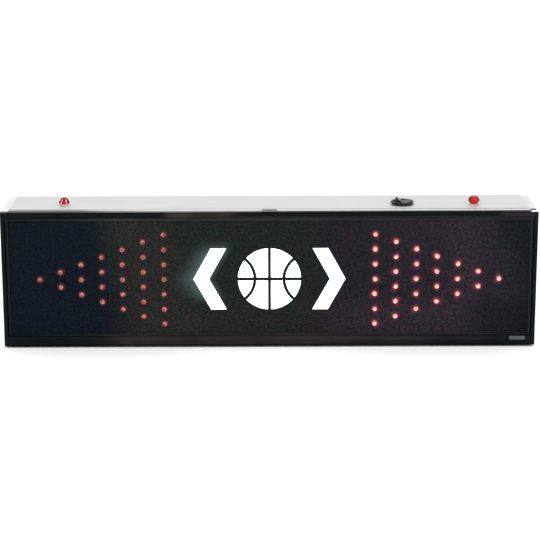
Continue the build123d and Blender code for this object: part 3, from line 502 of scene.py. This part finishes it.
def jewel(name, cut, crown, foot, strength):
    """Faceted red acrylic: three broad lobes around its axis, and other tones at crown and foot.
    Pale tones in them are painted highlights, and the glow of the unlit jewel is painted light.
    """
    s = Surface(name, Roughness=0.05, IOR=1.49, Specular_IOR_Level=0.12, Emission_Strength=strength)
    around, height, _ = s.attribute("jewel_place")
    lobe = s.math("COSINE", s.math("MULTIPLY", s.math("ADD", around, math.pi / 2), 3.0))
    cloud = s.spread(s.noise(2.2 * MM, 2), 0.3, 0.7, -0.15, 0.15)
    colour = s.ramp(s.math("ADD", lobe, cloud), cut)
    colour = s.mix(s.spread(height, 0.80, 0.92), colour, crown)
    colour = s.mix(s.spread(height, 0.24, 0.10), colour, foot)
    s.set("Base Color", colour)
    s.set("Emission Color", colour)
    return s.material


def brushed(name, colour, rough, scratch_size=0.4 * MM):
    """Bare metal with fine scratches and slightly uneven gloss."""
    s = Surface(name, Metallic=1.0)
    scratch = s.noise(scratch_size, 3, 0.6, (1, 1, 0.15))
    cloud = s.noise(9 * MM, 3)
    darker = tuple(c * 0.82 for c in colour[:3]) + (1,)
    s.set("Base Color", s.mix(s.spread(cloud, 0.3, 0.75), colour, darker))
    s.uneven_gloss(scratch, cloud, rough - 0.08, rough + 0.12)
    s.bump(scratch, 0.03 * MM, 0.4)
    return s.material


def plastic(name, colour, rough=0.45):
    """Moulded plastic, solder mask or sheath with a faint grain and slow change of tone."""
    s = Surface(name, Specular_IOR_Level=0.5)
    cloud = s.noise(12 * MM, 3)
    grain = s.noise(0.7 * MM, 2)
    darker = tuple(c * 0.7 for c in colour[:3]) + (1,)
    s.set("Base Color", s.mix(s.spread(cloud, 0.3, 0.7), colour, darker))
    s.uneven_gloss(cloud, grain, rough - 0.08, rough + 0.1)
    s.bump(grain, 0.05 * MM, 0.5)
    return s.material


def textured_paint():
    """Black wrinkle paint on the rear sheet."""
    s = Surface("textured_paint", Specular_IOR_Level=0.35)
    wrinkle = s.cells(1.3 * MM)
    cloud = s.noise(60 * MM, 4)
    s.set("Base Color", s.mix(s.spread(cloud, 0.3, 0.7), grey(0.012), grey(0.022, 0.03)))
    s.set("Roughness", s.spread(wrinkle, 0.1, 0.7, 0.45, 0.7))
    s.bump(wrinkle, 0.2 * MM, 0.8)
    return s.material


def give(material, *names):
    """Puts one material on whole CAD nodes."""
    for name in names:
        data = nodes[name].data
        data.materials.clear()
        data.materials.append(material)


give(silver_rail(), "top_rail", "bottom_rail")
# the caps are one part mirrored: the left is painted paler and its lip near black, the right a
# little darker, as painted light and shade
give(silver_cap("silver_cap_left", 0.74, 0.012), "end_cap_left")
give(silver_cap("silver_cap_right", 0.69, 0.75), "end_cap_right")
give(textured_paint(), "rear_cover")
give(brushed("blank_plate", (0.55, 0.56, 0.60, 1), 0.4), "rating_plate")
give(brushed("printed_plate", (0.115, 0.118, 0.145, 1), 0.45, 1.5 * MM), "maker_plate")
# the left tab is painted light grey as a reflection of the light; the right tab stays black
give(side_bezel("black_bezel_left", 0.62), "bezel_left")
give(side_bezel("black_bezel_right", 0.004), "bezel_right")

BLACK = (0.0038, 0.0044, 0.0051, 1)
BROWN = (0.0235, 0.0200, 0.0165, 1)
VIOLET = (0.0150, 0.0135, 0.0185, 1)
top_stops = [
    (-0.26, BLACK), (-0.108, BLACK), (-0.098, BROWN), (-0.044, BROWN), (-0.026, BLACK),
    (0.222, BLACK), (0.236, VIOLET), (0.26, VIOLET),
]
# the top bezel beside the bead is paler, a painted highlight spread from the bead
top_bead_highlight_stops = [
    (-0.26, BLACK), (-0.108, BLACK), (-0.098, BROWN), (-0.03, (0.0200, 0.0180, 0.0180, 1)),
    (0.03, (0.0140, 0.0135, 0.0165, 1)), (0.19, (0.0195, 0.0205, 0.0255, 1)),
    (0.26, (0.0140, 0.0135, 0.0170, 1)),
]
bottom_stops = [
    (-0.26, (0.0030, 0.0050, 0.0070, 1)), (-0.18, (0.0045, 0.0052, 0.0062, 1)),
    (-0.14, (0.0200, 0.0160, 0.0150, 1)), (0.05, (0.0200, 0.0160, 0.0155, 1)),
    (0.14, (0.0195, 0.0165, 0.0190, 1)), (0.165, (0.0110, 0.0110, 0.0150, 1)),
    (0.21, (0.0095, 0.0102, 0.0150, 1)), (0.26, (0.0060, 0.0068, 0.0100, 1)),
]
give(black_land("black_bezel_top", top_stops, top_bead_highlight_stops), "bezel_top")
give(black_land("black_bezel_bottom", bottom_stops, bottom_stops), "bezel_bottom")
give(glazing_bead(), "glazing_bead")
give(textured_panel(), "front_panel")
give(opal_glow(), "symbol_diffuser")
give(plastic("light_box_white", (0.82, 0.82, 0.80, 1)), "light_box")
give(plastic("lamp_phosphor", (0.85, 0.80, 0.45, 1), 0.3), "lamp_leds")
give(plastic("circuit_board", (0.02, 0.16, 0.06, 1), 0.35),
     "lamp_board", "arrow_board_left", "arrow_board_right", "control_board")
give(plastic("black_component", (0.012, 0.012, 0.014, 1), 0.4),
     "board_connectors", "driver_chips", "capacitors")
give(plastic("green_terminal", (0.03, 0.22, 0.09, 1), 0.45), "terminal_blocks")
give(brushed("heatsink", (0.08, 0.08, 0.085, 1), 0.4), "regulator")
give(brushed("steel_screw", (0.62, 0.62, 0.63, 1), 0.3),
     "end_cap_screws", "rear_cover_screws", "board_screws", "control_screws")
give(brushed("brass", (0.78, 0.57, 0.25, 1), 0.28),
     "board_spacers", "control_spacers", "dc_jack_contacts", "switch_terminals", "switch_contact")
RING_BLACK = (0.0100, 0.0112, 0.0090, 1)
ROCKER_BLACK = (0.0050, 0.0068, 0.0054, 1)
give(moulded_black("switch_ring", RING_BLACK, 0.25, 1.2 * MM, 0.02 * MM, 0.18),
     "switch_housing")
give(moulded_black("switch_plastic", ROCKER_BLACK, 0.28, 1.2 * MM, 0.02 * MM, 0.12, 0.02),
     "switch_rocker", "switch_plunger")
give(brushed("spring_steel", (0.6, 0.6, 0.6, 1), 0.25), "switch_spring")
give(brushed("chrome", (0.70, 0.70, 0.72, 1), 0.30),
     "pilot_body_left", "pilot_body_right", "pilot_nuts", "dc_jack_nut")
give(moulded_black("socket_plastic", (0.01, 0.01, 0.011, 1), 0.4, 0.8 * MM, 0.04 * MM, 0.4),
     "dc_jack_body")
give(plastic("cable_sheath", (0.02, 0.02, 0.022, 1), 0.5),
     *[n for n in nodes if n.startswith("cable_")])
give(moulded_black("rubber", (0.012, 0.012, 0.012, 1), 0.7, 0.5 * MM, 0.08 * MM, 0.25),
     "rubber_feet")


# ---------------------------------------------------------------- new pieces
def mesh_piece(name, points, faces, material, smooth=True, vectors=None):
    """A mesh object with one material, and vectors kept on its points for the material to read."""
    mesh = bpy.data.meshes.new(name)
    mesh.from_pydata([tuple(p) for p in points], [], faces)
    mesh.materials.append(material)
    for key, values in (vectors or {}).items():
        kept = mesh.attributes.new(key, "FLOAT_VECTOR", "POINT")
        kept.data.foreach_set("vector", np.array(values, np.float32).reshape(-1))
    mesh.polygons.foreach_set("use_smooth", [smooth] * len(mesh.polygons))
    mesh.update()
    piece = bpy.data.objects.new(name, mesh)
    bpy.context.scene.collection.objects.link(piece)
    return piece


def revolved(profile, segments, place):
    """Rings of points around an axis, closed at the ends where the radius is 0.

    place(a, b, along) gives the point that lies a and b beside the axis.
    """
    points, faces, rings = [], [], []
    for radius, along in profile:
        start = len(points)
        if radius == 0:
            points.append(place(0.0, 0.0, along))
            rings.append([start])
            continue
        for i in range(segments):
            a = 2 * math.pi * i / segments
            points.append(place(radius * math.cos(a), radius * math.sin(a), along))
        rings.append(list(range(start, start + segments)))
    for one, two in zip(rings, rings[1:]):
        for i in range(segments):
            j = (i + 1) % segments
            quad = [one[i % len(one)], one[j % len(one)], two[j % len(two)], two[i % len(two)]]
            face = list(dict.fromkeys(quad))
            if len(face) > 2:
                faces.append(face)
    return points, faces


LAMP_SEGMENTS = 28
LAMP_DOME_STEPS = 9
LAMP_RADIUS = 2.5 * MM
LAMP_FLANGE_RADIUS = 2.95 * MM
LAMP_FLANGE = 1.0 * MM
LAMP_BEVEL = 0.15 * MM
# how far the flange stands out of the front of the panel
LAMP_PROUD = 0.3 * MM
# half the width of a square lead, how deep it starts inside the body, and the two leads' spacing
LEAD = 0.25 * MM
LEAD_ROOT = 0.2 * MM
LEAD_SPACING = 2.54 * MM
# the corners of a square, in order around it
SQUARE = ((-1, -1), (1, -1), (1, 1), (-1, 1))


def lamp_profile(tip, foot):
    """Half outline of a round LED along Y, from its domed tip back to the foot of its flange."""
    centre = tip + LAMP_RADIUS
    dome = [
        (LAMP_RADIUS * math.sin(a), centre - LAMP_RADIUS * math.cos(a))
        for a in (math.pi / 2 * i / LAMP_DOME_STEPS for i in range(LAMP_DOME_STEPS + 1))
    ]
    front = foot - LAMP_FLANGE
    skirt = [
        (LAMP_RADIUS, front - LAMP_BEVEL),
        (LAMP_RADIUS + LAMP_BEVEL, front),
        (LAMP_FLANGE_RADIUS - LAMP_BEVEL, front),
        (LAMP_FLANGE_RADIUS, front + LAMP_BEVEL),
        (LAMP_FLANGE_RADIUS, foot - LAMP_BEVEL),
        (LAMP_FLANGE_RADIUS - LAMP_BEVEL, foot),
    ]
    return [(0.0, tip)] + dome[1:] + skirt + [(0.0, foot)]


def lead_box(x, z, front, back):
    """One square lead of an LED."""
    corners = [(x + i * LEAD, y, z + k * LEAD) for y in (front, back) for i, k in SQUARE]
    sides = [[i, i + 4, (i + 1) % 4 + 4, (i + 1) % 4] for i in range(4)]
    return corners, [[0, 1, 2, 3], [7, 6, 5, 4]] + sides


def lamp_group(name, node, places, material):
    """All LEDs of one arrow as one piece; each point keeps its place across its own LED."""
    low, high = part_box(node)
    foot = PANEL_Y - LAMP_PROUD + LAMP_FLANGE
    profile = lamp_profile(low.y, foot)
    points, faces, kept = [], [], []

    def add(new_points, new_faces, new_kept):
        base = len(points)
        points.extend(new_points)
        faces.extend([base + i for i in face] for face in new_faces)
        kept.extend(new_kept)

    for x, z in places:
        body, body_faces = revolved(profile, LAMP_SEGMENTS, lambda a, b, y: (x + a, y, z + b))
        offsets = [((p[0] - x) / LAMP_RADIUS, (p[2] - z) / LAMP_RADIUS) for p in body]
        add(body, body_faces, [(across, up, math.hypot(across, up)) for across, up in offsets])
        for side in (-1, 1):
            lead, lead_faces = lead_box(x + side * LEAD_SPACING / 2, z, foot - LEAD_ROOT, high.y)
            add(lead, lead_faces, [(0, 0, 1)] * len(lead))
    piece = mesh_piece(name, points, faces, material, True, {"lamp_place": kept})
    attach(piece, "case")
    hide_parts(node)


lamp_group("arrow_lamps_left", "arrow_leds_left", left_lamps, lamp_unlit())
lamp_group("arrow_lamps_right", "arrow_leds_right", right_lamps, lamp_lit())

JEWEL_FACETS = 12
# each ring of facets: its share of the lens's height and of its widest radius, and whether it is
# turned by half a facet
DOMED_RINGS = [
    (0.0, 0.0, 0), (0.0, 0.66, 0), (0.14, 0.80, 1), (0.30, 1.0, 0), (0.42, 0.94, 1),
    (0.62, 0.82, 0), (0.82, 0.66, 1), (0.93, 0.52, 0), (1.0, 0.36, 1), (1.0, 0.0, 1),
]
WAISTED_RINGS = [
    (0.0, 0.0, 0), (0.0, 0.60, 0), (0.20, 0.76, 1), (0.44, 1.0, 0), (0.56, 0.97, 1),
    (0.76, 0.87, 0), (0.90, 0.76, 1), (1.0, 0.66, 0), (0.92, 0.30, 0), (0.92, 0.0, 0),
]


def jewel_piece(name, node, ring_set, material):
    """A cut lens: rings of facets, each turned by half a facet from the one below."""
    low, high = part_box(node)
    centre = (low + high) / 2
    widest = (high.x - low.x) / 2
    height = high.z - low.z
    points, faces, kept, rings = [], [], [], []
    for up, wide, half in ring_set:
        start = len(points)
        count = JEWEL_FACETS if wide else 1
        for i in range(count):
            a = 2 * math.pi * (i + half / 2) / JEWEL_FACETS
            aside, back = widest * wide * math.cos(a), widest * wide * math.sin(a)
            points.append((centre.x + aside, centre.y + back, low.z + height * up))
            kept.append((a, up, wide))
        rings.append((list(range(start, start + count)), half))
    for (one, turned), (two, _) in zip(rings, rings[1:]):
        for i in range(JEWEL_FACETS):
            j = (i + 1) % JEWEL_FACETS
            if len(one) == 1:
                faces.append([one[0], two[j], two[i]])
            elif len(two) == 1:
                faces.append([one[i], one[j], two[0]])
            elif turned:
                faces += [[one[i], two[j], two[i]], [one[i], one[j], two[j]]]
            else:
                faces += [[one[i], one[j], two[i]], [one[j], two[j], two[i]]]
    piece = mesh_piece(name, points, faces, material, False, {"jewel_place": kept})
    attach(piece, "case")
    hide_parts(node)


# the tone across a lobe, from its hollow to its middle; in the unlit cut the pale pink band is a
# painted highlight
UNLIT_CUT_WITH_HIGHLIGHT = [
    (-1.0, (0.050, 0.006, 0.005, 1)), (-0.45, (0.10, 0.010, 0.008, 1)),
    (-0.12, (0.80, 0.42, 0.38, 1)), (0.12, (0.80, 0.42, 0.38, 1)),
    (0.45, (0.34, 0.010, 0.008, 1)), (1.0, (0.30, 0.006, 0.005, 1)),
]
LIT_CUT = [
    (-1.0, (0.12, 0.010, 0.012, 1)), (-0.3, (0.22, 0.010, 0.013, 1)),
    (0.2, (0.36, 0.010, 0.012, 1)), (1.0, (0.42, 0.006, 0.007, 1)),
]
# the unlit jewel: its pale pink foot is painted light, and its weak glow is painted light though it
# is not lit
unlit = jewel("jewel_unlit", UNLIT_CUT_WITH_HIGHLIGHT, (0.09, 0.010, 0.008, 1), (0.66, 0.36, 0.34, 1), 0.12)
lit = jewel("jewel_lit", LIT_CUT, (0.22, 0.012, 0.014, 1), (0.30, 0.03, 0.03, 1), 0.40)
jewel_piece("pilot_jewel_left", "pilot_lens_left", DOMED_RINGS, unlit)
jewel_piece("pilot_jewel_right", "pilot_lens_right", WAISTED_RINGS, lit)


# ---------------------------------------------------------------- floor, light and camera
FLOOR_TONE = 0.97
FLOOR_REACH = 6


def floor_paper():
    """Dull white paper with slow clouds."""
    s = Surface("floor", Roughness=0.9, Specular_IOR_Level=0.0)
    s.set("Base Color", s.mix(s.noise(0.4, 3), grey(FLOOR_TONE), grey(FLOOR_TONE * 0.985)))
    return s.material


floor_corners = [(i * FLOOR_REACH, k * FLOOR_REACH, 0) for i, k in SQUARE]
floor = mesh_piece("floor", floor_corners, [[0, 1, 2, 3]], floor_paper())


def area_light(name, place, aim, size, power, tint=(1, 1, 1)):
    """A rectangular lamp at a place, turned to its aim."""
    lamp = bpy.data.lights.new(name, "AREA")
    lamp.shape = "RECTANGLE"
    lamp.size, lamp.size_y = size
    lamp.energy = power
    lamp.color = tint
    holder = bpy.data.objects.new(name, lamp)
    bpy.context.scene.collection.objects.link(holder)
    holder.location = place
    holder.rotation_euler = (Vector(aim) - Vector(place)).to_track_quat("-Z", "Y").to_euler()


MIDDLE = (0, 0, FACE_Z)
area_light("overhead", (0.2, 0.2, 1.9), MIDDLE, (2.4, 1.6), 9)
area_light("front_left", (-1.3, -1.5, 1.3), MIDDLE, (1.2, 0.9), 9)
area_light("front_right", (1.5, -1.4, 1.4), MIDDLE, (1.0, 0.8), 12, (1.0, 0.98, 0.96))

WORLD_STRENGTH = 1.05
world = bpy.data.worlds.new("studio")
bpy.context.scene.world = world
world.use_nodes = True
background = world.node_tree.nodes["Background"]
background.inputs["Color"].default_value = grey(1)
background.inputs["Strength"].default_value = WORLD_STRENGTH

# the camera: its sensor and lens in millimetres, how it stands to the point that it looks at
SENSOR = 36.0
LENS = 121.29
DISTANCE = 1.8133
ELEVATION = math.radians(14.1685)
YAW = math.radians(-0.2108)
ROLL = math.radians(-0.129)
AIM = Vector((0.526 * MM, FRONT_Y, 80.233 * MM))

camera_data = bpy.data.cameras.new("camera")
camera_data.sensor_width = SENSOR
camera_data.lens = LENS
camera = bpy.data.objects.new("camera", camera_data)
bpy.context.scene.collection.objects.link(camera)
level = math.cos(ELEVATION)
away = Vector((math.sin(YAW) * level, -math.cos(YAW) * level, math.sin(ELEVATION)))
camera.location = AIM + away * DISTANCE
look = (-away).to_track_quat("-Z", "Y").to_matrix()
camera.rotation_euler = (look @ Matrix.Rotation(ROLL, 3, "Z")).to_euler()
bpy.context.scene.camera = camera

bpy.context.scene.view_settings.view_transform = "Standard"
bpy.context.scene.view_settings.look = "None"
